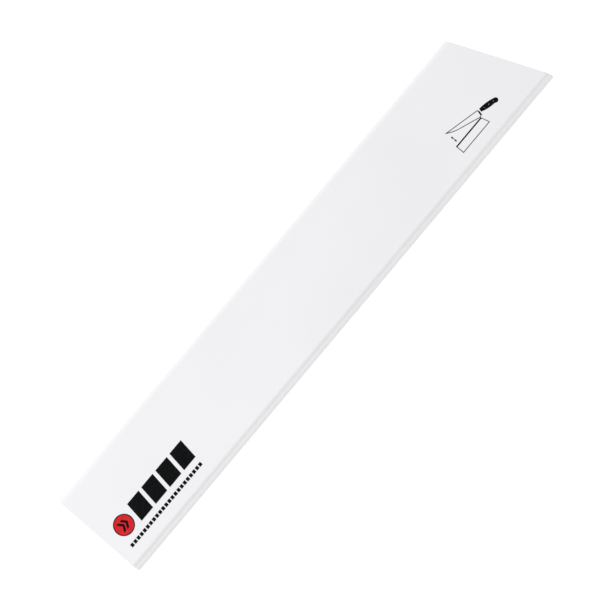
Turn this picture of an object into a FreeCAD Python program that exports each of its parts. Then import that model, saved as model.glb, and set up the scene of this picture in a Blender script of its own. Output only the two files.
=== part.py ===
"""Folded plastic blade guard with bonded magnetic strips, as a parametric document.

The guard is one thermoformed sheet, folded along one long side and open along the other.
Its free edges turn in as two lips. A flexible magnetic strip is bonded inside each panel.
Millimetres and degrees. +X runs towards the slanted end, +Y from the fold to the open mouth,
and +Z out of the printed panel. The origin is at the middle of the underside.
"""

import FreeCAD, Part
import math
import os

import Sketcher

# Every driving size, with its alias in the sheet.
SIZES = (
    # The folded sheet.
    ("sheath_length", "270"),
    ("sheath_width", "45.4"),
    ("sheath_height", "7.2"),
    ("sheet_thickness", "1.0"),
    ("mouth_gap", "0.6"),
    ("slant_angle", "21"),
    ("lip_straight", "0.5"),
    ("lip_rounding", "0.35"),
    # The magnetic strips and the films that bond them.
    ("strip_thickness", "1.5"),
    ("strip_fold_margin", "3.5"),
    ("strip_lip_margin", "4.6"),
    ("strip_end_margin", "3.0"),
    ("strip_corner", "0.8"),
    ("adhesive_thickness", "0.15"),
    ("adhesive_inset", "0.5"),
    # Printing: the marks beside the square end.
    ("ink_thickness", "0.05"),
    ("print_end_margin", "5.9"),
    ("print_fold_margin", "4.2"),
    ("dash_height", "1.6"),
    ("dash_length", "1.45"),
    ("dash_pitch", "2.0"),
    ("dash_row_gap", "2.8"),
    ("emblem_diameter", "9.4"),
    ("emblem_ring", "0.45"),
    ("chevron_height", "4.6"),
    ("chevron_line", "1.2"),
    ("chevron_depth", "1.5"),
    ("chevron_pitch", "2.0"),
    ("emblem_gap", "1.5"),
    ("block_width", "7.4"),
    ("block_pitch", "9.2"),
    ("block_lean", "1.2"),
    # Printing: the instruction symbol near the slanted end.
    ("symbol_end_margin", "31.8"),
    ("symbol_fold_margin", "4.25"),
    ("symbol_line", "0.3"),
    ("symbol_mouth_line", "0.6"),
    ("symbol_guard_length", "17.1"),
    ("symbol_guard_depth", "4.25"),
    ("symbol_slant_angle", "14"),
    ("symbol_lift_angle", "14"),
    ("symbol_blade_length", "16.2"),
    ("symbol_blade_depth", "3.3"),
    ("symbol_edge_length", "9.9"),
    ("symbol_edge_rise", "1.25"),
    ("symbol_belly_radius", "17.5"),
    ("symbol_heel_lead", "0.75"),
    ("symbol_heel_rise", "0.5"),
    ("symbol_bolster_width", "0.4"),
    ("symbol_bolster_depth", "2.1"),
    ("symbol_bolster_gap", "0.85"),
    ("symbol_handle_length", "8.9"),
    ("symbol_ferrule_depth", "1.5"),
    ("symbol_handle_depth", "2.3"),
    ("symbol_back_radius", "21"),
    ("symbol_grip_radius", "15"),
    ("symbol_hook_drop", "0.35"),
    ("symbol_hook_length", "2.4"),
    ("symbol_hook_radius", "1.3"),
    ("symbol_arrow_offset", "1.9"),
    ("symbol_arrow_length", "3.4"),
    ("symbol_arrow_width", "1.0"),
)

BLOCK_COUNT = 4
DASH_COUNT = 23
CHEVRON_COUNT = 2

# Lengths and places that several pieces share, as expressions on the sheet.
FOLD_RADIUS = "(sizes.sheath_height / 2)"
LIP_END = "((sizes.sheath_height - sizes.mouth_gap) / 2)"
LIP_RADIUS = f"({LIP_END} - sizes.lip_straight)"
FOLD_LINE = f"({FOLD_RADIUS} - sizes.sheath_width / 2)"
LIP_LINE = f"(sizes.sheath_width / 2 - {LIP_RADIUS})"
SQUARE_END = "(-sizes.sheath_length / 2)"
PRINT_START = f"({SQUARE_END} + sizes.print_end_margin)"
DASH_BOTTOM = f"({FOLD_LINE} + sizes.print_fold_margin)"
DASH_TOP = f"({DASH_BOTTOM} + sizes.dash_height)"
EMBLEM_BOTTOM = f"({DASH_TOP} + sizes.dash_row_gap)"
EMBLEM_TOP = f"({EMBLEM_BOTTOM} + sizes.emblem_diameter)"
EMBLEM_RADIUS = "(sizes.emblem_diameter / 2)"
DISC_RADIUS = f"({EMBLEM_RADIUS} - sizes.emblem_ring)"
EMBLEM_X = f"({PRINT_START} + {EMBLEM_RADIUS})"
EMBLEM_Y = f"({EMBLEM_BOTTOM} + {EMBLEM_RADIUS})"
BLOCK_START = f"({PRINT_START} + sizes.emblem_diameter + sizes.emblem_gap)"
FACE_LEVEL = "sizes.sheath_height"
OVERPRINT_LEVEL = f"({FACE_LEVEL} + sizes.ink_thickness)"
HEEL_X = "(sizes.sheath_length / 2 - sizes.symbol_end_margin)"
SYMBOL_BOTTOM = f"({FOLD_LINE} + sizes.symbol_fold_margin)"
HEEL_Y = f"({SYMBOL_BOTTOM} + sizes.symbol_guard_depth)"
SYMBOL_START = f"({HEEL_X} - sizes.symbol_guard_length)"
SLOPE = "tan(sizes.slant_angle * 1 deg)"
SYMBOL_SLOPE = "tan(sizes.symbol_slant_angle * 1 deg)"

# A lip's rounding takes no more than this share of its wall, on each side.
ROUNDING_SHARE = "0.45"

# A rotation keeps its axis only while its angle isn't zero. The sheet then sets the angle.
ANY_TURN = 1

STRAIGHT = None
LEFT = 1
RIGHT = -1
TOUCH = 1e-6

# How a sketch's constraints name its own origin and the points of a line, an arc or a circle.
SKETCH_ORIGIN = (-1, 1)
START_POINT = 1
END_POINT = 2
CENTRE_POINT = 3


def level(height, flip):
    """A height above the underside, or the same distance below the printed face when flipped."""
    return f"(sizes.sheath_height - {height})" if flip else height


def slant_x(across, inset="0"):
    """The place along X of the slanted end, or of a line inset from it, at a distance across."""
    return f"(sizes.sheath_length / 2 - {inset} - ({across} + sizes.sheath_width / 2) * {SLOPE})"


def make_sheet(doc):
    """Write every driving size into the document's sheet."""
    sheet = doc.addObject("Spreadsheet::Sheet", "sizes")
    for row, (alias, number) in enumerate(SIZES, start=1):
        sheet.set(f"A{row}", alias)
        sheet.set(f"B{row}", number)
        sheet.setAlias(f"B{row}", alias)
    doc.recompute()


def value_of(thing, expression):
    """The number that an expression on the sheet gives now."""
    return float(thing.evalExpression(expression))


def arc_between(here, there, radius, turn):
    """The arc of less than half a turn from here to there, turning left or right."""
    chord = there - here
    reach = math.sqrt(max(radius**2 - (chord.Length / 2) ** 2, 0))
    leftward = FreeCAD.Vector(-chord.y, chord.x, 0).normalize()
    centre = here + chord / 2 + leftward * (reach * turn)
    first, last = (here, there) if turn == LEFT else (there, here)
    start = math.atan2(first.y - centre.y, first.x - centre.x)
    end = math.atan2(last.y - centre.y, last.x - centre.x)
    circle = Part.Circle(centre, FreeCAD.Vector(0, 0, 1), radius)
    return Part.ArcOfCircle(circle, start, end)


def trace(sketch, corners):
    """Draw a closed outline and tie each corner and radius to the sheet.

    A corner is (name, across, up, radius, turn). The first two sizes are expressions for its place,
    and the last two shape the side that leaves it: STRAIGHT with any turn, or an arc's radius.
    """
    spots = [FreeCAD.Vector(value_of(sketch, c[1]), value_of(sketch, c[2]), 0) for c in corners]
    starts = []
    ends = []
    for index, (*_, radius, turn) in enumerate(corners):
        here = spots[index]
        there = spots[(index + 1) % len(spots)]
        if radius is STRAIGHT:
            side = sketch.addGeometry(Part.LineSegment(here, there), False)
        else:
            arc = arc_between(here, there, value_of(sketch, radius), turn)
            side = sketch.addGeometry(arc, False)
        backwards = radius is not STRAIGHT and turn == RIGHT
        starts.append((side, END_POINT if backwards else START_POINT))
        ends.append((side, START_POINT if backwards else END_POINT))
    for index, end in enumerate(ends):
        sketch.addConstraint(Sketcher.Constraint("Coincident", *end, *starts[(index + 1) % len(ends)]))
    for start, spot, (name, across, up, radius, _) in zip(starts, spots, corners):
        for kind, place, size in (("X", spot.x, across), ("Y", spot.y, up)):
            offset = Sketcher.Constraint(f"Distance{kind}", *SKETCH_ORIGIN, *start, place)
            held = sketch.addConstraint(offset)
            sketch.renameConstraint(held, f"{name}_{kind.lower()}")
            sketch.setExpression(f"Constraints.{name}_{kind.lower()}", size)
        if radius is not STRAIGHT:
            bend = Sketcher.Constraint("Radius", start[0], value_of(sketch, radius))
            held = sketch.addConstraint(bend)
            sketch.renameConstraint(held, f"{name}_radius")
            sketch.setExpression(f"Constraints.{name}_radius", radius)


def circle(sketch, name, across, up, radius):
    """Draw a circle and tie its centre and radius to the sheet."""
    centre = FreeCAD.Vector(value_of(sketch, across), value_of(sketch, up), 0)
    size = value_of(sketch, radius)
    ring = sketch.addGeometry(Part.Circle(centre, FreeCAD.Vector(0, 0, 1), size), False)
    for kind, place, source in (("X", centre.x, across), ("Y", centre.y, up)):
        offset = Sketcher.Constraint(f"Distance{kind}", *SKETCH_ORIGIN, ring, CENTRE_POINT, place)
        held = sketch.addConstraint(offset)
        sketch.renameConstraint(held, f"{name}_{kind.lower()}")
        sketch.setExpression(f"Constraints.{name}_{kind.lower()}", source)
    held = sketch.addConstraint(Sketcher.Constraint("Radius", ring, size))
    sketch.renameConstraint(held, f"{name}_radius")
    sketch.setExpression(f"Constraints.{name}_radius", radius)


def make_body(doc, label):
    """An empty body, labelled with the name of its sub-part."""
    body = doc.addObject("PartDesign::Body", label)
    body.Label = label
    body.Placement = FreeCAD.Placement()
    return body


def make_sketch(body, name, plane, raised="0"):
    """A sketch on one of the body's own origin planes, raised by an expression."""
    sketch = body.newObject("Sketcher::SketchObject", f"{body.Label}_{name}")
    base = next(part for part in body.Origin.OriginFeatures if part.Role == plane)
    sketch.AttachmentSupport = [(base, "")]
    sketch.MapMode = "FlatFace"
    sketch.setExpression("AttachmentOffset.Base.z", raised)
    return sketch


def pad(body, sketch, length, both_ways=False):
    """Pad a sketch by an expression, from its plane or evenly to both sides of it."""
    feature = body.newObject("PartDesign::Pad", f"{sketch.Name}_pad")
    feature.Profile = sketch
    feature.Midplane = both_ways
    feature.setExpression("Length", length)
    sketch.Visibility = False
    body.Document.recompute()
    return feature


def trim_slanted_end(body):
    """Cut the body off along the slanted end, through its whole height."""
    sketch = make_sketch(body, "slant", "XY_Plane")
    near = "(-sizes.sheath_width)"
    far = "sizes.sheath_width"
    beyond = "(sizes.sheath_length / 2 + sizes.sheath_width)"
    trace(
        sketch,
        (
            ("near", slant_x(near), near, STRAIGHT, 0),
            ("near_out", beyond, near, STRAIGHT, 0),
            ("far_out", beyond, far, STRAIGHT, 0),
            ("far", slant_x(far), far, STRAIGHT, 0),
        ),
    )
    volume = body.Shape.Volume
    feature = body.newObject("PartDesign::Pocket", f"{body.Label}_slant_cut")
    feature.Profile = sketch
    feature.Type = "ThroughAll"
    feature.Midplane = True
    sketch.Visibility = False
    body.Document.recompute()
    if body.Shape.Volume > volume - TOUCH:
        raise RuntimeError(f"the slanted cut missed {body.Label}")


def fillet(body, radius, chosen):
    """Round the edges that pass a test, by an expression."""
    base = body.Tip
    names = [f"Edge{n}" for n, edge in enumerate(base.Shape.Edges, start=1) if chosen(edge)]
    if not names:
        raise RuntimeError(f"no edge of {body.Label} to round")
    feature = body.newObject("PartDesign::Fillet", f"{base.Name}_rounded")
    feature.Base = (base, names)
    feature.setExpression("Radius", radius)
    body.Document.recompute()


def repeat_along_x(body, feature, pitch, count):
    """Repeat a feature along +X."""
    row = body.newObject("PartDesign::LinearPattern", f"{feature.Name}_row")
    row.Originals = [feature]
    axis = next(part for part in body.Origin.OriginFeatures if part.Role == "X_Axis")
    row.Direction = (axis, [""])
    row.Occurrences = count
    row.setExpression("Length", f"{pitch} * {count - 1}")
    body.Tip = row
    body.Document.recompute()


def make_panel(doc, label, flip):
    """One flat panel of the sheet, with the lip that turns in along its free edge.

    flip makes the front panel, which is the back one mirrored about the guard's middle height.
    """
    body = make_body(doc, label)
    sketch = make_sketch(body, "section", "YZ_Plane")
    outward = RIGHT if flip else LEFT
    outside = "sizes.sheath_width / 2"
    inside = f"({outside} - sizes.sheet_thickness)"
    inner_radius = f"({LIP_RADIUS} - sizes.sheet_thickness)"
    trace(
        sketch,
        (
            ("fold_outside", FOLD_LINE, level("0", flip), STRAIGHT, 0),
            ("bend_outside", LIP_LINE, level("0", flip), LIP_RADIUS, outward),
            ("lip_outside", outside, level(LIP_RADIUS, flip), STRAIGHT, 0),
            ("lip_end_outside", outside, level(LIP_END, flip), STRAIGHT, 0),
            ("lip_end_inside", inside, level(LIP_END, flip), STRAIGHT, 0),
            ("lip_inside", inside, level(LIP_RADIUS, flip), inner_radius, -outward),
            ("bend_inside", LIP_LINE, level("sizes.sheet_thickness", flip), STRAIGHT, 0),
            ("fold_inside", FOLD_LINE, level("sizes.sheet_thickness", flip), STRAIGHT, 0),
        ),
    )
    pad(body, sketch, "sizes.sheath_length", both_ways=True)
    trim_slanted_end(body)
    end_level = value_of(body, level(LIP_END, flip))

    def on_lip_end(edge):
        box = edge.BoundBox
        at_level = abs(box.ZMin - end_level) < TOUCH and abs(box.ZMax - end_level) < TOUCH
        return at_level and box.YLength < TOUCH

    fillet(body, f"min(sizes.lip_rounding; sizes.sheet_thickness * {ROUNDING_SHARE})", on_lip_end)
    return body


def make_fold_half(doc, label, flip):
    """Half of the rounded fold that joins the panels: a quarter of a tube in section.

    The fold is split at its outermost line, so that each half bends with its own panel. flip makes
    the upper half.
    """
    body = make_body(doc, label)
    sketch = make_sketch(body, "section", "YZ_Plane")
    towards_side = LEFT if flip else RIGHT
    outside = "-sizes.sheath_width / 2"
    inside = f"({outside} + sizes.sheet_thickness)"
    inner_radius = f"({FOLD_RADIUS} - sizes.sheet_thickness)"
    trace(
        sketch,
        (
            ("panel_outside", FOLD_LINE, level("0", flip), FOLD_RADIUS, towards_side),
            ("side_outside", outside, FOLD_RADIUS, STRAIGHT, 0),
            ("side_inside", inside, FOLD_RADIUS, inner_radius, -towards_side),
            ("panel_inside", FOLD_LINE, level("sizes.sheet_thickness", flip), STRAIGHT, 0),
        ),
    )
    pad(body, sketch, "sizes.sheath_length", both_ways=True)
    trim_slanted_end(body)
    return body


def make_layer(doc, label, bottom, thickness, inset):
    """A flat layer inside a panel: a magnetic strip, or the film behind it, set in by an inset."""
    body = make_body(doc, label)
    sketch = make_sketch(body, "plan", "XY_Plane", bottom)
    near = f"({FOLD_LINE} + sizes.strip_fold_margin + {inset})"
    far = f"({LIP_LINE} - sizes.strip_lip_margin - {inset})"
    margin = f"(sizes.strip_end_margin + {inset})"
    trace(
        sketch,
        (
            ("square_near", f"{SQUARE_END} + {margin}", near, STRAIGHT, 0),
            ("slant_near", slant_x(near, margin), near, STRAIGHT, 0),
            ("slant_far", slant_x(far, margin), far, STRAIGHT, 0),
            ("square_far", f"{SQUARE_END} + {margin}", far, STRAIGHT, 0),
        ),
    )
    pad(body, sketch, thickness)
    fillet(body, "sizes.strip_corner", lambda edge: edge.BoundBox.ZLength > TOUCH)
    return body


def make_layers(doc):
    """Both magnetic strips and both adhesive films, stacked from the panels inwards."""
    film = "sizes.adhesive_thickness"
    strip = "sizes.strip_thickness"
    floor = "sizes.sheet_thickness"
    roof = "(sizes.sheath_height - sizes.sheet_thickness)"
    return [
        make_layer(doc, "back_strip_adhesive", floor, film, "sizes.adhesive_inset"),
        make_layer(doc, "back_magnet_strip", f"{floor} + {film}", strip, "0"),
        make_layer(doc, "front_strip_adhesive", f"{roof} - {film}", film, "sizes.adhesive_inset"),
        make_layer(doc, "front_magnet_strip", f"{roof} - {film} - {strip}", strip, "0"),
    ]


def make_emblem_disc(doc):
    """A round patch of red ink."""
    body = make_body(doc, "print_emblem_disc")
    sketch = make_sketch(body, "plan", "XY_Plane", FACE_LEVEL)
    circle(sketch, "disc", EMBLEM_X, EMBLEM_Y, DISC_RADIUS)
    pad(body, sketch, "sizes.ink_thickness")
    return body


def make_emblem_ring(doc):
    """The black ring printed round the red patch."""
    body = make_body(doc, "print_emblem_ring")
    sketch = make_sketch(body, "plan", "XY_Plane", FACE_LEVEL)
    circle(sketch, "outside", EMBLEM_X, EMBLEM_Y, EMBLEM_RADIUS)
    circle(sketch, "inside", EMBLEM_X, EMBLEM_Y, DISC_RADIUS)
    pad(body, sketch, "sizes.ink_thickness")
    return body


def make_emblem_chevrons(doc):
    """Two black chevrons, printed over the red patch and pointing along the guard."""
    body = make_body(doc, "print_emblem_chevrons")
    sketch = make_sketch(body, "plan", "XY_Plane", OVERPRINT_LEVEL)
    row = f"(sizes.chevron_pitch * {CHEVRON_COUNT - 1} + sizes.chevron_line + sizes.chevron_depth)"
    back = f"({EMBLEM_X} - {row} / 2)"
    bottom = f"({EMBLEM_Y} - sizes.chevron_height / 2)"
    top = f"({EMBLEM_Y} + sizes.chevron_height / 2)"
    trace(
        sketch,
        (
            ("back_bottom", back, bottom, STRAIGHT, 0),
            ("front_bottom", f"{back} + sizes.chevron_line", bottom, STRAIGHT, 0),
            ("point", f"{back} + sizes.chevron_line + sizes.chevron_depth", EMBLEM_Y, STRAIGHT, 0),
            ("front_top", f"{back} + sizes.chevron_line", top, STRAIGHT, 0),
            ("back_top", back, top, STRAIGHT, 0),
            ("notch", f"{back} + sizes.chevron_depth", EMBLEM_Y, STRAIGHT, 0),
        ),
    )
    chevron = pad(body, sketch, "sizes.ink_thickness")
    repeat_along_x(body, chevron, "sizes.chevron_pitch", CHEVRON_COUNT)
    return body


def make_blocks(doc):
    """A row of heavy black leaning blocks, as tall as the emblem."""
    body = make_body(doc, "print_blocks")
    sketch = make_sketch(body, "plan", "XY_Plane", FACE_LEVEL)
    end = f"({BLOCK_START} + sizes.block_width)"
    trace(
        sketch,
        (
            ("start_bottom", BLOCK_START, EMBLEM_BOTTOM, STRAIGHT, 0),
            ("end_bottom", end, EMBLEM_BOTTOM, STRAIGHT, 0),
            ("end_top", f"{end} + sizes.block_lean", EMBLEM_TOP, STRAIGHT, 0),
            ("start_top", f"{BLOCK_START} + sizes.block_lean", EMBLEM_TOP, STRAIGHT, 0),
        ),
    )
    block = pad(body, sketch, "sizes.ink_thickness")
    repeat_along_x(body, block, "sizes.block_pitch", BLOCK_COUNT)
    return body


def make_dashes(doc):
    """A row of short black dashes under the emblem and the blocks."""
    body = make_body(doc, "print_dashes")
    sketch = make_sketch(body, "plan", "XY_Plane", FACE_LEVEL)
    end = f"({PRINT_START} + sizes.dash_length)"
    trace(
        sketch,
        (
            ("start_bottom", PRINT_START, DASH_BOTTOM, STRAIGHT, 0),
            ("end_bottom", end, DASH_BOTTOM, STRAIGHT, 0),
            ("end_top", end, DASH_TOP, STRAIGHT, 0),
            ("start_top", PRINT_START, DASH_TOP, STRAIGHT, 0),
        ),
    )
    dash = pad(body, sketch, "sizes.ink_thickness")
    repeat_along_x(body, dash, "sizes.dash_pitch", DASH_COUNT)
    return body


def make_symbol_guard(doc):
    """The symbol's guard: an outline with a slanted end and a heavier line at its mouth."""
    body = make_body(doc, "print_symbol_guard")
    sketch = make_sketch(body, "plan", "XY_Plane", FACE_LEVEL)
    line = "sizes.symbol_line"
    far_end = f"({HEEL_X} - sizes.symbol_guard_depth * {SYMBOL_SLOPE})"
    run_at_mouth_line = f"sizes.symbol_mouth_line * {SYMBOL_SLOPE}"
    trace(
        sketch,
        (
            ("fold_start", SYMBOL_START, SYMBOL_BOTTOM, STRAIGHT, 0),
            ("fold_end", HEEL_X, SYMBOL_BOTTOM, STRAIGHT, 0),
            ("mouth_end", far_end, HEEL_Y, STRAIGHT, 0),
            ("mouth_start", SYMBOL_START, HEEL_Y, STRAIGHT, 0),
        ),
    )
    low = f"({SYMBOL_BOTTOM} + {line})"
    high = f"({HEEL_Y} - sizes.symbol_mouth_line)"
    trace(
        sketch,
        (
            ("inner_fold_start", f"{SYMBOL_START} + {line}", low, STRAIGHT, 0),
            ("inner_fold_end", f"{HEEL_X} - {line} * (1 + {SYMBOL_SLOPE})", low, STRAIGHT, 0),
            ("inner_mouth_end", f"{far_end} + {run_at_mouth_line} - {line}", high, STRAIGHT, 0),
            ("inner_mouth_start", f"{SYMBOL_START} + {line}", high, STRAIGHT, 0),
        ),
    )
    pad(body, sketch, "sizes.ink_thickness")
    return body


def lay_along_knife(sketch):
    """Put a sketch on the printed face, its origin at the symbol's heel and its X down the handle."""
    sketch.setExpression("Placement.Base.x", f"{HEEL_X} - sizes.symbol_guard_depth * {SYMBOL_SLOPE}")
    sketch.setExpression("Placement.Base.y", HEEL_Y)
    sketch.setExpression("Placement.Base.z", FACE_LEVEL)
    sketch.Placement.Rotation = FreeCAD.Rotation(FreeCAD.Vector(0, 0, -1), ANY_TURN)
    sketch.setExpression("Placement.Rotation.Angle", "sizes.symbol_lift_angle * 1 deg")


def make_symbol_blade(doc):
    """The symbol's blade: a thin outline with a straight spine and an edge that curves up to its tip."""
    sketch = doc.addObject("Sketcher::SketchObject", "print_symbol_blade_plan")
    lay_along_knife(sketch)
    trace(
        sketch,
        (
            ("heel", "0", "0", STRAIGHT, 0),
            ("heel_back", "sizes.symbol_heel_lead", "sizes.symbol_heel_rise", STRAIGHT, 0),
            ("spine_end", "sizes.symbol_heel_lead", "sizes.symbol_blade_depth", STRAIGHT, 0),
            (
                "tip",
                "-sizes.symbol_blade_length",
                "sizes.symbol_blade_depth",
                "sizes.symbol_belly_radius",
                LEFT,
            ),
            ("edge_end", "-sizes.symbol_edge_length", "sizes.symbol_edge_rise", STRAIGHT, 0),
        ),
    )
    outline = doc.addObject("Part::Offset2D", "print_symbol_blade_outline")
    outline.Source = sketch
    outline.Join = "Intersection"
    outline.Fill = True
    outline.setExpression("Value", "-sizes.symbol_line")
    film = doc.addObject("Part::Extrusion", "print_symbol_blade")
    film.Label = "print_symbol_blade"
    film.Base = outline
    film.DirMode = "Custom"
    film.Dir = FreeCAD.Vector(0, 0, 1)
    film.Solid = True
    film.setExpression("LengthFwd", "sizes.ink_thickness")
    doc.recompute()
    return film


def make_symbol_handle(doc):
    """The symbol's handle, solid black with a hooked end, and the bolster's bar beside the blade."""
    sketch = doc.addObject("Sketcher::SketchObject", "print_symbol_handle_plan")
    lay_along_knife(sketch)
    bar_start = "sizes.symbol_heel_lead"
    bar_end = f"({bar_start} + sizes.symbol_bolster_width)"
    bar_foot = "sizes.symbol_heel_rise"
    bar_top = f"({bar_foot} + sizes.symbol_bolster_depth)"
    trace(
        sketch,
        (
            ("bar_foot_near", bar_start, bar_foot, STRAIGHT, 0),
            ("bar_foot_far", bar_end, bar_foot, STRAIGHT, 0),
            ("bar_top_far", bar_end, bar_top, STRAIGHT, 0),
            ("bar_top_near", bar_start, bar_top, STRAIGHT, 0),
        ),
    )
    start = f"({bar_start} + sizes.symbol_bolster_gap)"
    end = f"({start} + sizes.symbol_handle_length)"
    back = "sizes.symbol_blade_depth"
    ferrule_y = f"({back} - sizes.symbol_ferrule_depth)"
    hook = f"({back} - sizes.symbol_handle_depth)"
    butt_x = f"({end} - sizes.symbol_handle_depth / 2)"
    butt_y = f"({back} - sizes.symbol_handle_depth / 2)"
    hook_x = f"({end} - sizes.symbol_hook_length)"
    hook_y = f"({hook} + sizes.symbol_hook_drop)"
    hook_radius = "sizes.symbol_hook_radius"
    trace(
        sketch,
        (
            ("ferrule_belly", start, ferrule_y, "sizes.symbol_grip_radius", LEFT),
            ("hook_start", hook_x, hook_y, STRAIGHT, 0),
            ("hook_tip", butt_x, hook, hook_radius, LEFT),
            ("butt", end, butt_y, hook_radius, LEFT),
            ("butt_back", butt_x, back, "sizes.symbol_back_radius", LEFT),
            ("ferrule_back", start, back, STRAIGHT, 0),
        ),
    )
    film = doc.addObject("Part::Extrusion", "print_symbol_handle")
    film.Label = "print_symbol_handle"
    film.Base = sketch
    film.DirMode = "Custom"
    film.Dir = FreeCAD.Vector(0, 0, 1)
    film.Solid = True
    film.setExpression("LengthFwd", "sizes.ink_thickness")
    doc.recompute()
    return film


def make_symbol_arrow(doc):
    """The symbol's double arrow between the blade's tip and the guard's mouth."""
    body = make_body(doc, "print_symbol_arrow")
    sketch = make_sketch(body, "plan", "XY_Plane", FACE_LEVEL)
    middle = f"({SYMBOL_START} + sizes.symbol_arrow_offset)"
    bottom = f"({HEEL_Y} + sizes.symbol_arrow_width)"
    top = f"({bottom} + sizes.symbol_arrow_length)"
    head = "sizes.symbol_arrow_width"
    half_head = "sizes.symbol_arrow_width / 2"
    half_line = "sizes.symbol_line / 2"
    trace(
        sketch,
        (
            ("foot", middle, bottom, STRAIGHT, 0),
            ("foot_right", f"{middle} + {half_head}", f"{bottom} + {head}", STRAIGHT, 0),
            ("shaft_right", f"{middle} + {half_line}", f"{bottom} + {head}", STRAIGHT, 0),
            ("shaft_right_top", f"{middle} + {half_line}", f"{top} - {head}", STRAIGHT, 0),
            ("point_right", f"{middle} + {half_head}", f"{top} - {head}", STRAIGHT, 0),
            ("point", middle, top, STRAIGHT, 0),
            ("point_left", f"{middle} - {half_head}", f"{top} - {head}", STRAIGHT, 0),
            ("shaft_left_top", f"{middle} - {half_line}", f"{top} - {head}", STRAIGHT, 0),
            ("shaft_left", f"{middle} - {half_line}", f"{bottom} + {head}", STRAIGHT, 0),
            ("foot_left", f"{middle} - {half_head}", f"{bottom} + {head}", STRAIGHT, 0),
        ),
    )
    pad(body, sketch, "sizes.ink_thickness")
    return body


def check(doc, pieces):
    """Stop if any object failed to build, or any sub-part has no sound solid."""
    for thing in doc.Objects:
        if "Invalid" in thing.State or "Error" in thing.State:
            raise RuntimeError(f"{thing.Name} failed: {thing.State}")
    for piece in pieces:
        shape = piece.Shape
        if shape.isNull() or not shape.isValid() or not shape.Solids or shape.Volume <= 0:
            raise RuntimeError(f"{piece.Label} has no sound solid")


def main():
    """Build the document, check it and write each sub-part to its own file."""
    doc = FreeCAD.newDocument("blade_guard")
    make_sheet(doc)
    pieces = [
        make_panel(doc, "back_panel", flip=False),
        make_fold_half(doc, "fold_lower", flip=False),
        make_fold_half(doc, "fold_upper", flip=True),
        make_panel(doc, "front_panel", flip=True),
        *make_layers(doc),
        make_emblem_disc(doc),
        make_emblem_ring(doc),
        make_emblem_chevrons(doc),
        make_blocks(doc),
        make_dashes(doc),
        make_symbol_guard(doc),
        make_symbol_blade(doc),
        make_symbol_handle(doc),
        make_symbol_arrow(doc),
    ]
    doc.recompute()
    check(doc, pieces)
    os.makedirs("parts", exist_ok=True)
    for piece in pieces:
        piece.Shape.exportStep(f"parts/{piece.Label}.step")
        print(f"{piece.Label}: {piece.Shape.Volume:.2f} mm3, {len(piece.Shape.Solids)} solids")


main()
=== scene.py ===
"""A white folded knife blade guard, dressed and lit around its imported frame.

The sheath is one sheet of polypropylene: two flat panels, a half-round fold along one side and a rounded
lip along each free edge. Two magnetic strips line it, and one panel is screen printed. Everything is in
metres, +X along the guard towards its slanted end, +Y towards its mouth and +Z out of the printed face.
"""

import logging
import math
from dataclasses import dataclass
from enum import Enum

import bmesh
import bpy
from mathutils import Matrix, Vector


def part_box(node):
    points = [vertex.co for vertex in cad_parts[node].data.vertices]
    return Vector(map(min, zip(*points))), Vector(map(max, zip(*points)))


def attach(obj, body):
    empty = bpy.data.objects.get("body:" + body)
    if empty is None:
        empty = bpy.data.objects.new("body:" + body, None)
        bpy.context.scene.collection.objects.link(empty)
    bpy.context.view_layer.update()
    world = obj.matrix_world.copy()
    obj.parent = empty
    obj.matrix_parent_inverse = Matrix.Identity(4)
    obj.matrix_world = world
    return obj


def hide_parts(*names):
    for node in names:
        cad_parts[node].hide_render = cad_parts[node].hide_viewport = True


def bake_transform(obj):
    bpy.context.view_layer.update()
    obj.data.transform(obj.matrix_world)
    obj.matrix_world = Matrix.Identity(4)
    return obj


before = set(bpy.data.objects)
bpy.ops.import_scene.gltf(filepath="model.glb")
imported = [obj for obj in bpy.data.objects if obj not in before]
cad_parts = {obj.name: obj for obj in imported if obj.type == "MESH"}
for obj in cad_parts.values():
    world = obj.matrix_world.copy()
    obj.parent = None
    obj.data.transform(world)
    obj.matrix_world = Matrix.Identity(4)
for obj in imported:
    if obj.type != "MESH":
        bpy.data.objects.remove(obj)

log = logging.getLogger("blade_guard")

MM = 0.001
TOUCH = 0.01 * MM
WHITE = "#FFFFFF"
# The sRGB curve: a straight line up to its knee, and a power of the offset value above it.
SRGB_KNEE = 0.04045
SRGB_SLOPE = 12.92
SRGB_OFFSET = 0.055
SRGB_POWER = 2.4
# Edges that turn more than this are drawn sharp.
SMOOTH_ANGLE = math.radians(35)
# A face whose normal leans further than this along X belongs to a cut end.
END_LEAN = 0.2
# A face whose normal leans less than this along X belongs to a wall.
WALL_LEAN = 1e-5
# Edges that turn more than this are rims to round.
SHARP_RIM = math.radians(60)
# A rounding's profile that is an arc of a circle.
ARC_PROFILE = 0.5
# A wave pattern at a scale of 1 repeats over this length.
WAVE_REPEAT = math.tau / 20
# A colour mix's sockets go by number, because the node has several of each name.
MIX_SHARE = 0
MIX_FIRST = 6
MIX_SECOND = 7
MIX_RESULT = 2

# The last edge of a cross-section that is being drawn, with its vertices.
Wall = list[bmesh.types.BMVert | bmesh.types.BMEdge]


def to_linear(colour: str) -> tuple[float, float, float, float]:
    """Turn an sRGB hex colour into the linear values that shaders read.

    Args:
        colour: the colour as "#RRGGBB".

    Returns:
        Red, green, blue and an alpha of 1.
    """
    linear = []
    for start in (1, 3, 5):
        part = int(colour[start:start + 2], 16) / 255
        if part <= SRGB_KNEE:
            linear.append(part / SRGB_SLOPE)
        else:
            linear.append(((part + SRGB_OFFSET) / (1 + SRGB_OFFSET)) ** SRGB_POWER)
    return *linear, 1.0


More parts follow.
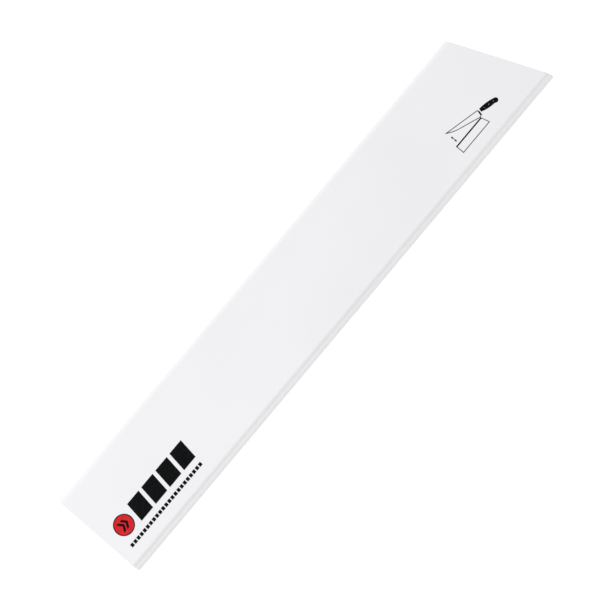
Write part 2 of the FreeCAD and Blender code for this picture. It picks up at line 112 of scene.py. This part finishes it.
def feed(tree: bpy.types.NodeTree, node: bpy.types.Node, inputs: dict) -> None:
    """Set or link a node's inputs.

    Args:
        tree: the node tree that holds the node.
        node: the node to feed.
        inputs: by input name or number, either a constant or the socket that feeds it.
    """
    for key, value in inputs.items():
        if isinstance(value, bpy.types.NodeSocket):
            tree.links.new(value, node.inputs[key])
        else:
            node.inputs[key].default_value = value


def add_node(
    tree: bpy.types.NodeTree, kind: str, inputs: dict | None = None, **settings: object
) -> bpy.types.Node:
    """Add a node with its settings and its links.

    Args:
        tree: the node tree to add to.
        kind: the node's type.
        inputs: what `feed` gives the node's inputs.
        settings: the node's own properties.

    Returns:
        The new node.
    """
    node = tree.nodes.new(kind)
    for name, value in settings.items():
        setattr(node, name, value)
    feed(tree, node, inputs or {})
    return node


def add_stretch(
    tree: bpy.types.NodeTree, place: bpy.types.NodeSocket, scale: tuple[float, float, float]
) -> bpy.types.NodeSocket:
    """Scale a pattern's coordinates: it is drawn out along an axis whose scale is under 1."""
    return add_node(tree, "ShaderNodeMapping", {"Vector": place, "Scale": scale}).outputs["Vector"]


def add_noise(
    tree: bpy.types.NodeTree, place: bpy.types.NodeSocket, size: float, detail: float
) -> bpy.types.NodeSocket:
    """Add a pattern of soft irregular patches.

    Args:
        tree: the node tree to add to.
        place: the coordinates.
        size: the size of the patches.
        detail: how many finer layers lie on them.

    Returns:
        The pattern, about 0.5 on average.
    """
    inputs = {"Vector": place, "Scale": 1 / size, "Detail": detail}
    return add_node(tree, "ShaderNodeTexNoise", inputs).outputs["Fac"]


def add_cells(
    tree: bpy.types.NodeTree, place: bpy.types.NodeSocket, size: float
) -> bpy.types.NodeSocket:
    """Add a pattern of cells of a size, which gives the distance from the middle of each."""
    return add_node(tree, "ShaderNodeTexVoronoi", {"Vector": place, "Scale": 1 / size}).outputs["Distance"]


def add_range(
    tree: bpy.types.NodeTree,
    value: bpy.types.NodeSocket,
    start: tuple[float, float] = (0, 1),
    end: tuple[float, float] = (0, 1),
    shape: str = "LINEAR",
) -> bpy.types.NodeSocket:
    """Map one range of values onto another, and hold what lies outside at its limits.

    Args:
        tree: the node tree to add to.
        value: the value to map.
        start: the range to map from.
        end: the range to map onto.
        shape: how the result runs between its limits.

    Returns:
        The mapped value.
    """
    inputs = {
        "Value": value,
        "From Min": start[0],
        "From Max": start[1],
        "To Min": end[0],
        "To Max": end[1],
    }
    return add_node(tree, "ShaderNodeMapRange", inputs, interpolation_type=shape).outputs["Result"]


def add_mix(
    tree: bpy.types.NodeTree,
    share: bpy.types.NodeSocket,
    first: bpy.types.NodeSocket | tuple[float, float, float, float],
    second: bpy.types.NodeSocket | tuple[float, float, float, float],
) -> bpy.types.NodeSocket:
    """Mix two colours.

    Args:
        tree: the node tree to add to.
        share: the second colour's share.
        first: the first colour.
        second: the second colour.

    Returns:
        The mixed colour.
    """
    inputs = {MIX_SHARE: share, MIX_FIRST: first, MIX_SECOND: second}
    return add_node(tree, "ShaderNodeMix", inputs, data_type="RGBA").outputs[MIX_RESULT]


def add_relief(
    tree: bpy.types.NodeTree,
    height: bpy.types.NodeSocket,
    depth: float,
    below: bpy.types.NodeSocket | None = None,
) -> bpy.types.NodeSocket:
    """Raise a pattern in relief.

    Args:
        tree: the node tree to add to.
        height: the pattern.
        depth: how high the pattern stands.
        below: the relief that it lies on, if any.

    Returns:
        The normal of the face in relief.
    """
    inputs = {"Height": height, "Distance": depth}
    if below is not None:
        inputs["Normal"] = below
    return add_node(tree, "ShaderNodeBump", inputs).outputs["Normal"]


def start_material(
    name: str,
) -> tuple[bpy.types.Material, bpy.types.NodeTree, bpy.types.Node, bpy.types.NodeSocket]:
    """Start a node material.

    Args:
        name: the material's name.

    Returns:
        The material, its node tree, its shader and the piece's own coordinates.
    """
    material = bpy.data.materials.new(name)
    material.use_nodes = True
    tree = material.node_tree
    place = add_node(tree, "ShaderNodeTexCoord").outputs["Object"]
    return material, tree, tree.nodes["Principled BSDF"], place


def finish_piece(mesh: bmesh.types.BMesh, name: str, *materials: bpy.types.Material) -> bpy.types.Object:
    """Write a mesh to a new object that sits at the origin, smooth apart from its sharp edges.

    Args:
        mesh: the piece's mesh, which is freed.
        name: the piece's name.
        materials: the piece's materials, in the order of its faces' numbers.

    Returns:
        The piece.
    """
    data = bpy.data.meshes.new(name)
    mesh.to_mesh(data)
    mesh.free()
    for material in materials:
        data.materials.append(material)
    data.shade_smooth()
    data.set_sharp_from_angle(angle=SMOOTH_ANGLE)
    piece = bpy.data.objects.new(name, data)
    bpy.context.scene.collection.objects.link(piece)
    even = piece.modifiers.new("even_normals", "WEIGHTED_NORMAL")
    even.keep_sharp = True
    log.info("%s: %d faces", name, len(data.polygons))
    return piece


def round_edges(
    mesh: bmesh.types.BMesh, edges: list[bmesh.types.BMEdge], width: float, segments: int
) -> None:
    """Round some edges of a mesh.

    Args:
        mesh: the mesh.
        edges: the edges to round.
        width: how far the rounding reaches from each edge.
        segments: the number of faces across the rounding.
    """
    bmesh.ops.bevel(
        mesh,
        geom=edges,
        offset=width,
        offset_type="OFFSET",
        segments=segments,
        profile=ARC_PROFILE,
        affect="EDGES",
        material=-1,
        clamp_overlap=True,
    )


@dataclass(frozen=True)
class Guard:
    """The guard's leading sizes in metres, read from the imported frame."""

    square_end: float
    slanted_reach: float
    slope: float
    fold_line: float
    fold_radius: float
    mouth: float
    lip_end: float
    height: float
    sheet: float

    @classmethod
    def from_frame(cls) -> "Guard":
        """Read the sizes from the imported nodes' boxes.

        Returns:
            The sizes.
        """
        fold_low, fold_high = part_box("fold_lower")
        panel_low, panel_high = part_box("back_panel")
        film_low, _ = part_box("back_strip_adhesive")
        _, printed_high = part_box("front_panel")
        slope = (fold_high.x - panel_high.x) / (panel_low.y - fold_low.y)
        return cls(
            square_end=fold_low.x,
            slanted_reach=fold_high.x + slope * fold_low.y,
            slope=slope,
            fold_line=panel_low.y,
            fold_radius=panel_low.y - fold_low.y,
            mouth=panel_high.y,
            lip_end=panel_high.z,
            height=printed_high.z,
            sheet=film_low.z,
        )

    @property
    def slant(self) -> Matrix:
        """The shear that lays a square end along the slanted one."""
        matrix = Matrix.Identity(4)
        matrix[0][1] = -self.slope
        return matrix


@dataclass(frozen=True)
class SatinPolypropylene:
    """White polypropylene sheet, extruded through a slot die and folded warm.

    It gives the eye a soft satin white, faintly cool, with a fine grain, weak lines along the guard from
    the die, and broad patches a shade apart where the sheet cooled unevenly. Warm folding turns the fold
    a little whiter.
    """

    name: str = "polypropylene_extruded_satin_white"
    colour: str = "#E8E8EA"
    patch_colour: str = "#E6E6E8"
    fold_colour: str = "#EBEBEC"
    roughness_low: float = 0.4
    roughness_high: float = 0.52
    ior: float = 1.49
    # The grain breaks up what the sheet would mirror at a glancing angle.
    specular: float = 0.25
    patch: float = 42 * MM
    patch_range: tuple[float, float] = (0.35, 0.65)
    mottle: float = 3.2 * MM
    mottle_range: tuple[float, float] = (0.3, 0.7)
    # The die's lines are 0.3 mm apart or less, and are drawn coarser so that they show.
    die_line: float = 1.1 * MM
    die_line_stretch: float = 0.012
    # The grain is about 0.1 mm, and is drawn coarser so that it shows.
    grain: float = 0.42 * MM
    patch_height: float = 0.03 * MM
    line_height: float = 0.0035 * MM
    grain_height: float = 0.004 * MM
    # The whitening grows between these two places along Y.
    whitening_range: tuple[float, float] = (-18.0 * MM, -21.0 * MM)

    def make(self) -> bpy.types.Material:
        """Make the material.

        Returns:
            The material.
        """
        material, tree, shader, place = start_material(self.name)
        along = add_stretch(tree, place, (self.die_line_stretch, 1, 1))
        patches = add_noise(tree, place, self.patch, detail=2.0)
        mottle = add_noise(tree, place, self.mottle, detail=3.0)
        lines = add_noise(tree, along, self.die_line, detail=2.0)
        grain = add_noise(tree, place, self.grain, detail=1.0)
        patch_share = add_range(tree, patches, self.patch_range)
        sheet = add_mix(tree, patch_share, to_linear(self.colour), to_linear(self.patch_colour))
        across = add_node(tree, "ShaderNodeSeparateXYZ", {"Vector": place}).outputs["Y"]
        whitening = add_range(tree, across, self.whitening_range, shape="SMOOTHSTEP")
        crazed = add_node(
            tree, "ShaderNodeMath", {0: whitening, 1: mottle}, operation="MULTIPLY"
        ).outputs["Value"]
        base = add_mix(tree, crazed, sheet, to_linear(self.fold_colour))
        roughness = add_range(tree, mottle, self.mottle_range, (self.roughness_low, self.roughness_high))
        relief = add_relief(tree, patches, self.patch_height)
        relief = add_relief(tree, lines, self.line_height, relief)
        relief = add_relief(tree, grain, self.grain_height, relief)
        feed(tree, shader, {"Base Color": base, "Roughness": roughness, "Normal": relief})
        feed(tree, shader, {"IOR": self.ior, "Specular IOR Level": self.specular})
        return material


@dataclass(frozen=True)
class CutPolypropylene:
    """The same sheet's ends, die cut and left as cut.

    The cut is duller than the rolled face, with short marks of the blade through the sheet's thickness.
    """

    name: str = "polypropylene_die_cut_edge"
    colour: str = "#DDDEE1"
    mark_colour: str = "#D2D3D6"
    roughness: float = 0.58
    ior: float = 1.49
    # The blade's marks are finer than this, and are drawn coarser so that they show.
    mark: float = 0.35 * MM
    mark_stretch: float = 0.1
    mark_height: float = 0.012 * MM

    def make(self) -> bpy.types.Material:
        """Make the material.

        Returns:
            The material.
        """
        material, tree, shader, place = start_material(self.name)
        down = add_stretch(tree, place, (1, 1, self.mark_stretch))
        marks = add_noise(tree, down, self.mark, detail=3.0)
        base = add_mix(tree, marks, to_linear(self.colour), to_linear(self.mark_colour))
        relief = add_relief(tree, marks, self.mark_height)
        feed(tree, shader, {"Base Color": base, "Normal": relief})
        feed(tree, shader, {"Roughness": self.roughness, "IOR": self.ior})
        return material


@dataclass(frozen=True)
class FerriteRubber:
    """Flexible magnet strip: ferrite powder in rubber, extruded through a die.

    It is a matt warm black, with lines along the strip and pale specks where powder shows at the face.
    """

    name: str = "ferrite_rubber_extruded"
    colour: str = "#2A2725"
    worn_colour: str = "#3A3633"
    speck_colour: str = "#6A655F"
    roughness_low: float = 0.55
    roughness_high: float = 0.75
    ior: float = 1.52
    mottle: float = 6 * MM
    die_line: float = 0.7 * MM
    die_line_stretch: float = 0.02
    speck: float = 0.45 * MM
    speck_size: float = 0.12
    line_height: float = 0.02 * MM
    speck_height: float = 0.01 * MM

    def make(self) -> bpy.types.Material:
        """Make the material.

        Returns:
            The material.
        """
        material, tree, shader, place = start_material(self.name)
        along = add_stretch(tree, place, (self.die_line_stretch, 1, 1))
        mottle = add_noise(tree, place, self.mottle, detail=4.0)
        lines = add_noise(tree, along, self.die_line, detail=2.0)
        cells = add_cells(tree, place, self.speck)
        specks = add_range(tree, cells, (self.speck_size, self.speck_size / 2))
        ground = add_mix(tree, mottle, to_linear(self.colour), to_linear(self.worn_colour))
        base = add_mix(tree, specks, ground, to_linear(self.speck_colour))
        roughness = add_range(tree, mottle, end=(self.roughness_low, self.roughness_high))
        relief = add_relief(tree, lines, self.line_height)
        relief = add_relief(tree, specks, self.speck_height, relief)
        feed(tree, shader, {"Base Color": base, "Roughness": roughness, "Normal": relief, "IOR": self.ior})
        return material


@dataclass(frozen=True)
class AcrylicFilm:
    """Double-sided acrylic bonding film, cast and rolled on.

    Only its edges show: a slightly yellow, glossy line with small trapped bubbles.
    """

    name: str = "acrylic_film_bonding"
    colour: str = "#DDDACC"
    bubble_colour: str = "#F0EEE6"
    roughness_low: float = 0.12
    roughness_high: float = 0.3
    ior: float = 1.47
    bubble: float = 0.6 * MM
    bubble_size: float = 0.22
    bubble_height: float = 0.02 * MM

    def make(self) -> bpy.types.Material:
        """Make the material.

        Returns:
            The material.
        """
        material, tree, shader, place = start_material(self.name)
        cells = add_cells(tree, place, self.bubble)
        bubbles = add_range(tree, cells, (self.bubble_size, self.bubble_size / 2))
        base = add_mix(tree, bubbles, to_linear(self.colour), to_linear(self.bubble_colour))
        roughness = add_range(tree, cells, end=(self.roughness_low, self.roughness_high))
        relief = add_relief(tree, bubbles, self.bubble_height)
        feed(tree, shader, {"Base Color": base, "Roughness": roughness, "Normal": relief, "IOR": self.ior})
        return material


class Ink(Enum):
    """The printing inks: each one's material name, colour, and colour where it lies thin."""

    RED = ("screen_ink_red", "#CB2229", "#D5383D")
    BLACK = ("screen_ink_black", "#060809", "#141617")


@dataclass(frozen=True)
class ScreenInk:
    """Solvent ink, pressed through a screen mesh and dried in air.

    It is a dense film that hardly shines, because its pigment stands up through the binder. The mesh
    leaves a faint weave in its face, and the ink lies a little thinner in patches.
    """

    ink: Ink
    roughness_low: float = 0.35
    roughness_high: float = 0.5
    ior: float = 1.5
    specular: float = 0.05
    patch: float = 1.4 * MM
    thin_range: tuple[float, float] = (0.5, 0.8)
    # The screen's threads are 0.08 mm apart, and are drawn coarser so that they show.
    thread: float = 0.3 * MM
    thread_height: float = 0.004 * MM

    def make(self) -> bpy.types.Material:
        """Make the material.

        Returns:
            The material.
        """
        name, colour, thin_colour = self.ink.value
        material, tree, shader, place = start_material(name)
        patches = add_noise(tree, place, self.patch, detail=4.0)
        thin = add_range(tree, patches, self.thin_range)
        base = add_mix(tree, thin, to_linear(colour), to_linear(thin_colour))
        roughness = add_range(tree, patches, end=(self.roughness_low, self.roughness_high))
        relief = None
        for direction in ("X", "Y"):
            threads = add_node(
                tree,
                "ShaderNodeTexWave",
                {"Vector": place, "Scale": WAVE_REPEAT / self.thread},
                bands_direction=direction,
            ).outputs["Fac"]
            relief = add_relief(tree, threads, self.thread_height, relief)
        feed(tree, shader, {"Base Color": base, "Roughness": roughness, "Normal": relief})
        feed(tree, shader, {"IOR": self.ior, "Specular IOR Level": self.specular})
        return material


@dataclass
class Sheath:
    """The folded sheet: a back panel, the fold, and a front panel that mirrors the back one."""

    guard: Guard
    lip_straight: float = 0.5 * MM
    lip_rounding: float = 0.35 * MM
    outer_rounding: float = 0.6 * MM
    inner_rounding: float = 0.25 * MM
    # The fold's piece runs this far onto each flat panel, so that the light crosses the seam evenly.
    seam_run: float = 0.05 * MM
    fold_steps: int = 96
    crease_turn: float = math.radians(38.5)
    crease_depth: float = 0.54 * MM
    crease_reach: float = 1.9 * MM
    lip_steps: int = 20
    rounding_segments: int = 4

    def build(self) -> None:
        """Build and dress the two panels and the fold."""
        sheet = SatinPolypropylene().make()
        cut = CutPolypropylene().make()
        for name, node, body, mirrored in (
            ("sheath_back_panel", "back_panel", "back", False),
            ("sheath_front_panel", "front_panel", "front", True),
        ):
            panel = finish_piece(self._panel(mirrored), name, sheet, cut)
            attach(panel, body)
            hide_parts(node)
        fold = finish_piece(self._fold(), "sheath_fold", sheet, cut)
        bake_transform(fold)
        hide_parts("fold_lower", "fold_upper")

    def _wall(self, mesh: bmesh.types.BMesh, across: float) -> Wall:
        """Start a cross-section at the square end: an edge through the sheet, from outside to inside.

        Args:
            mesh: the mesh to start in.
            across: the edge's place along Y.

        Returns:
            The edge and its two vertices.
        """
        ends = [mesh.verts.new((self.guard.square_end, across, z)) for z in (0, self.guard.sheet)]
        return [*ends, mesh.edges.new(ends)]

    def _push(self, mesh: bmesh.types.BMesh, wall: Wall, way: tuple[float, float, float]) -> Wall:
        """Lengthen the cross-section in a straight line.

        Args:
            mesh: the mesh.
            wall: the section's last edge and its vertices.
            way: how far the section goes on.

        Returns:
            The section's new last edge and its vertices.
        """
        edges = [part for part in wall if isinstance(part, bmesh.types.BMEdge)]
        grown = bmesh.ops.extrude_edge_only(mesh, edges=edges)["geom"]
        verts = [part for part in grown if isinstance(part, bmesh.types.BMVert)]
        bmesh.ops.translate(mesh, verts=verts, vec=way)
        last = [part for part in grown if isinstance(part, bmesh.types.BMEdge)]
        last = [edge for edge in last if all(vert in verts for vert in edge.verts)]
        return [*verts, *last]

    def _turn(self, mesh: bmesh.types.BMesh, wall: Wall, centre: Vector, angle: float, steps: int) -> Wall:
        """Carry the cross-section round an arc.

        Args:
            mesh: the mesh.
            wall: the section's last edge and its vertices.
            centre: the arc's centre.
            angle: how far it turns about +X.
            steps: the number of faces round the arc.

        Returns:
            The section's new last edge and its vertices.
        """
        return bmesh.ops.spin(
            mesh, geom=wall, cent=centre, axis=(1, 0, 0), angle=angle, steps=steps, use_merge=False
        )["geom_last"]

    def _pull(self, mesh: bmesh.types.BMesh) -> None:
        """Draw the cross-section out along the guard to the slanted end, and close it.

        Args:
            mesh: the mesh that holds the cross-section's faces.
        """
        grown = bmesh.ops.extrude_face_region(mesh, geom=mesh.faces[:])["geom"]
        far = [part for part in grown if isinstance(part, bmesh.types.BMVert)]
        length = self.guard.slanted_reach - self.guard.square_end
        bmesh.ops.translate(mesh, verts=far, vec=(length, 0, 0))
        bmesh.ops.transform(mesh, verts=far, matrix=self.guard.slant)
        bmesh.ops.recalc_face_normals(mesh, faces=mesh.faces[:])

    def _round_ends(self, mesh: bmesh.types.BMesh) -> None:
        """Round the rims of both cut ends, apart from the seams, and mark the cut faces.

        Args:
            mesh: the mesh.
        """
        round_edges(mesh, self._rims(mesh, outside=True), self.outer_rounding, self.rounding_segments)
        round_edges(mesh, self._rims(mesh, outside=False), self.inner_rounding, self.rounding_segments)
        for face in mesh.faces:
            face.material_index = int(abs(face.normal.x) > END_LEAN)

    def _rims(self, mesh: bmesh.types.BMesh, outside: bool) -> list[bmesh.types.BMEdge]:
        """Find the sharp edges round the cut ends, apart from those at a seam.

        Args:
            mesh: the mesh.
            outside: whether to find those of the sheath's outside, or of its inside.

        Returns:
            The edges.
        """
        middle = Vector((0, 0, self.guard.height / 2))
        seam = self.guard.fold_line + self.seam_run
        mesh.normal_update()
        rims = []
        for edge in mesh.edges:
            wall, end = sorted(edge.link_faces, key=lambda face: abs(face.normal.x))
            sharp = abs(wall.normal.x) < WALL_LEAN and edge.calc_face_angle() > SHARP_RIM
            at_seam = all(abs(vert.co.y - seam) < TOUCH for vert in edge.verts)
            away = wall.calc_center_median() - middle
            away.x = 0
            if sharp and abs(end.normal.x) > END_LEAN and not at_seam:
                if (away.dot(wall.normal) > 0) == outside:
                    rims.append(edge)
        return rims

    def _panel(self, mirrored: bool) -> bmesh.types.BMesh:
        """Make a flat panel with its rounded lip.

        Args:
            mirrored: whether it is the front panel, which faces the other way.

        Returns:
            The panel's mesh.
        """
        guard = self.guard
        radius = guard.lip_end - self.lip_straight
        lip_line = guard.mouth - radius
        seam = guard.fold_line + self.seam_run
        centre = Vector((guard.square_end, lip_line, radius))
        mesh = bmesh.new()
        wall = self._wall(mesh, seam)
        wall = self._push(mesh, wall, (0, lip_line - seam, 0))
        wall = self._turn(mesh, wall, centre, math.radians(90), self.lip_steps)
        self._push(mesh, wall, (0, 0, self.lip_straight))
        self._pull(mesh)
        tip = [
            edge
            for edge in mesh.edges
            if all(abs(vert.co.z - guard.lip_end) < TOUCH for vert in edge.verts)
            and edge.calc_length() > guard.fold_radius
        ]
        round_edges(mesh, tip, self.lip_rounding, self.rounding_segments)
        self._round_ends(mesh)
        if mirrored:
            middle = Matrix.Translation((0, 0, -guard.height / 2))
            bmesh.ops.scale(mesh, verts=mesh.verts[:], vec=(1, 1, -1), space=middle)
            bmesh.ops.recalc_face_normals(mesh, faces=mesh.faces[:])
        return mesh

    def _fold(self) -> bmesh.types.BMesh:
        """Make the half-round fold that joins the panels.

        Returns:
            The fold's mesh.
        """
        guard = self.guard
        centre = Vector((guard.square_end, guard.fold_line, guard.height / 2))
        mesh = bmesh.new()
        wall = self._wall(mesh, guard.fold_line + self.seam_run)
        wall = self._push(mesh, wall, (0, -self.seam_run, 0))
        wall = self._turn(mesh, wall, centre, math.radians(-180), self.fold_steps)
        self._push(mesh, wall, (0, self.seam_run, 0))
        self._press_creases(mesh)
        self._pull(mesh)
        self._round_ends(mesh)
        return mesh

    def _press_creases(self, mesh: bmesh.types.BMesh) -> None:
        """Sink the shallow crease that the folding bar leaves along each side of the fold.

        Args:
            mesh: the mesh that holds the fold's cross-section.
        """
        guard = self.guard
        for vert in mesh.verts:
            way = Vector((0, vert.co.y - guard.fold_line, vert.co.z - guard.height / 2))
            turn = math.acos(min(abs(way.z) / way.length, 1))
            away = abs(turn - self.crease_turn) * guard.fold_radius / self.crease_reach
            share = (1 + math.cos(math.pi * min(away, 1))) / 2
            vert.co -= way.normalized() * self.crease_depth * share


@dataclass
class MagnetLiner:
    """The two magnetic strips inside the panels, and the films that bond them."""

    guard: Guard
    corner: float = 0.8 * MM
    corner_segments: int = 6
    edge_rounding: float = 0.25 * MM
    edge_segments: int = 3

    def build(self) -> None:
        """Build and dress the strips, and dress the films."""
        rubber = FerriteRubber().make()
        film = AcrylicFilm().make()
        for body in ("back", "front"):
            node = f"{body}_magnet_strip"
            strip = finish_piece(self._strip(node), f"{body}_magnet", rubber)
            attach(strip, body)
            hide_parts(node)
            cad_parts[f"{body}_strip_adhesive"].material_slots[0].material = film

    def _strip(self, node: str) -> bmesh.types.BMesh:
        """Make one strip: square at one end, slanted at the other, with rounded corners and edges.

        Args:
            node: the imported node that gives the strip's place.

        Returns:
            The strip's mesh.
        """
        low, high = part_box(node)
        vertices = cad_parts[node].data.vertices
        reach = max(vert.co.x + self.guard.slope * vert.co.y for vert in vertices)
        size = Vector((reach - low.x, high.y - low.y, high.z - low.z))
        middle = Vector(((reach + low.x) / 2, (high.y + low.y) / 2, (high.z + low.z) / 2))
        mesh = bmesh.new()
        bmesh.ops.create_cube(mesh, size=1)
        bmesh.ops.scale(mesh, verts=mesh.verts[:], vec=size)
        bmesh.ops.translate(mesh, verts=mesh.verts[:], vec=middle)
        far = [vert for vert in mesh.verts if vert.co.x > middle.x]
        bmesh.ops.transform(mesh, verts=far, matrix=self.guard.slant)
        upright = [
            edge for edge in mesh.edges if abs(edge.verts[0].co.z - edge.verts[1].co.z) > size.z / 2
        ]
        round_edges(mesh, upright, self.corner, self.corner_segments)
        rims = [edge for edge in mesh.edges if abs(edge.verts[0].co.z - edge.verts[1].co.z) < TOUCH]
        rims = [edge for edge in rims if edge.calc_face_angle() > SHARP_RIM]
        round_edges(mesh, rims, self.edge_rounding, self.edge_segments)
        return mesh


@dataclass
class Print:
    """The print on the front panel, in one pass of red and one of black."""

    red: tuple[str, ...] = ("print_emblem_disc",)
    black: tuple[str, ...] = (
        "print_emblem_ring",
        "print_emblem_chevrons",
        "print_blocks",
        "print_dashes",
        "print_symbol_guard",
        "print_symbol_blade",
        "print_symbol_handle",
        "print_symbol_arrow",
    )
    rivets: int = 3
    rivet_radius: float = 0.11 * MM
    rivet_height: float = 0.01 * MM
    rivet_segments: int = 24
    # The first and the last rivet, as shares of the handle's box from its blade end and from its back.
    first_rivet: tuple[float, float] = (0.33, 0.31)
    last_rivet: tuple[float, float] = (0.8, 0.62)

    def build(self) -> None:
        """Dress every printed patch in its ink, and dot the symbol's handle with bare sheet."""
        for ink, nodes in ((Ink.RED, self.red), (Ink.BLACK, self.black)):
            material = ScreenInk(ink).make()
            for node in nodes:
                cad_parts[node].material_slots[0].material = material
            log.info("%s: %d patches", material.name, len(nodes))
        sheet = bpy.data.materials[SatinPolypropylene.name]
        dots = finish_piece(self._rivets(), "symbol_rivets", sheet)
        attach(dots, "front")

    def _rivets(self) -> bmesh.types.BMesh:
        """Make the dots of bare sheet that stand for the handle's rivets, half sunk in its ink.

        Returns:
            The dots' mesh.
        """
        low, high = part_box("print_symbol_handle")
        mesh = bmesh.new()
        for index in range(self.rivets):
            share = Vector(self.first_rivet).lerp(self.last_rivet, index / (self.rivets - 1))
            place = (
                low.x + share.x * (high.x - low.x),
                high.y - share.y * (high.y - low.y),
                high.z,
            )
            bmesh.ops.create_cone(
                mesh,
                cap_ends=True,
                segments=self.rivet_segments,
                radius1=self.rivet_radius,
                radius2=self.rivet_radius,
                depth=self.rivet_height,
                matrix=Matrix.Translation(place),
            )
        return mesh


@dataclass
class Studio:
    """A white light table, a soft key light from the mouth's side, and the camera."""

    # The camera looks down on the printed face, leaning 12 degrees to the fold's side, and is rolled so
    # that the guard lies along a diagonal.
    lean: float = math.radians(12)
    roll: float = math.radians(50.01)
    aim: tuple[float, float, float] = (-5.2 * MM, -4.67 * MM, 7.2 * MM)
    frame_width: float = 255.3 * MM
    lens: float = 200.0
    sensor: float = 36.0
    table_radius: float = 3.0
    table_segments: int = 96
    table_gap: float = 0.1 * MM
    table_colour: str = "#9E9E9E"
    table_roughness: float = 0.9
    # The table glows less the further it is from the guard, between these two distances.
    glow: tuple[float, float] = (0.8, 0.46)
    glow_range: tuple[float, float] = (0.2, 1.8)
    sky: float = 0.785
    key_from: tuple[float, float, float] = (-0.6, 0.45, 0.85)
    key_distance: float = 1.8
    key_size: float = 1.0
    key_power: float = 14.2

    def build(self) -> None:
        """Set the camera, the light table, the key light and the surroundings."""
        self._camera()
        self._table()
        self._key_light()
        self._surroundings()
        bpy.context.scene.view_settings.view_transform = "Standard"

    def _camera(self) -> None:
        """Place the camera."""
        data = bpy.data.cameras.new("camera")
        data.lens = self.lens
        data.sensor_width = self.sensor
        camera = bpy.data.objects.new("camera", data)
        bpy.context.scene.collection.objects.link(camera)
        back = Vector((0, -math.sin(self.lean), math.cos(self.lean)))
        level = Vector((0, math.cos(self.lean), math.sin(self.lean)))
        along = Vector((1, 0, 0))
        right = math.cos(self.roll) * along - math.sin(self.roll) * level
        up = math.sin(self.roll) * along + math.cos(self.roll) * level
        turn = Matrix((right, up, back)).transposed().to_4x4()
        distance = self.frame_width * self.lens / self.sensor
        camera.matrix_world = Matrix.Translation(Vector(self.aim) + back * distance) @ turn
        bpy.context.scene.camera = camera
        log.info("camera: %.2f m from the guard", distance)

    def _table(self) -> None:
        """Make the glowing white table that the guard lies on."""
        mesh = bmesh.new()
        bmesh.ops.create_circle(
            mesh, cap_ends=True, segments=self.table_segments, radius=self.table_radius
        )
        bmesh.ops.translate(mesh, verts=mesh.verts[:], vec=(0, 0, -self.table_gap))
        material, tree, shader, place = start_material("opal_acrylic_light_table")
        away = add_node(tree, "ShaderNodeVectorMath", {0: place}, operation="LENGTH").outputs["Value"]
        glow = add_range(tree, away, self.glow_range, self.glow, shape="SMOOTHSTEP")
        feed(tree, shader, {"Base Color": to_linear(self.table_colour), "Roughness": self.table_roughness})
        feed(tree, shader, {"Emission Color": to_linear(WHITE), "Emission Strength": glow})
        finish_piece(mesh, "light_table", material)

    def _key_light(self) -> None:
        """Hang a square softbox over the mouth's side, towards the square end."""
        data = bpy.data.lights.new("key_softbox", "AREA")
        data.shape = "SQUARE"
        data.size = self.key_size
        data.energy = self.key_power
        key = bpy.data.objects.new("key_softbox", data)
        bpy.context.scene.collection.objects.link(key)
        way = Vector(self.key_from).normalized()
        facing = way.to_track_quat("Z", "Y").to_matrix().to_4x4()
        key.matrix_world = Matrix.Translation(way * self.key_distance) @ facing

    def _surroundings(self) -> None:
        """Surround the guard with even white light."""
        world = bpy.data.worlds.new("studio")
        world.use_nodes = True
        background = world.node_tree.nodes["Background"]
        feed(world.node_tree, background, {"Color": to_linear(WHITE), "Strength": self.sky})
        bpy.context.scene.world = world


def main() -> None:
    """Build the guard piece by piece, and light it."""
    logging.basicConfig(level=logging.INFO, format="%(message)s")
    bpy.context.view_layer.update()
    guard = Guard.from_frame()
    Sheath(guard).build()
    MagnetLiner(guard).build()
    Print().build()
    Studio().build()


if __name__ == "__main__":
    main()
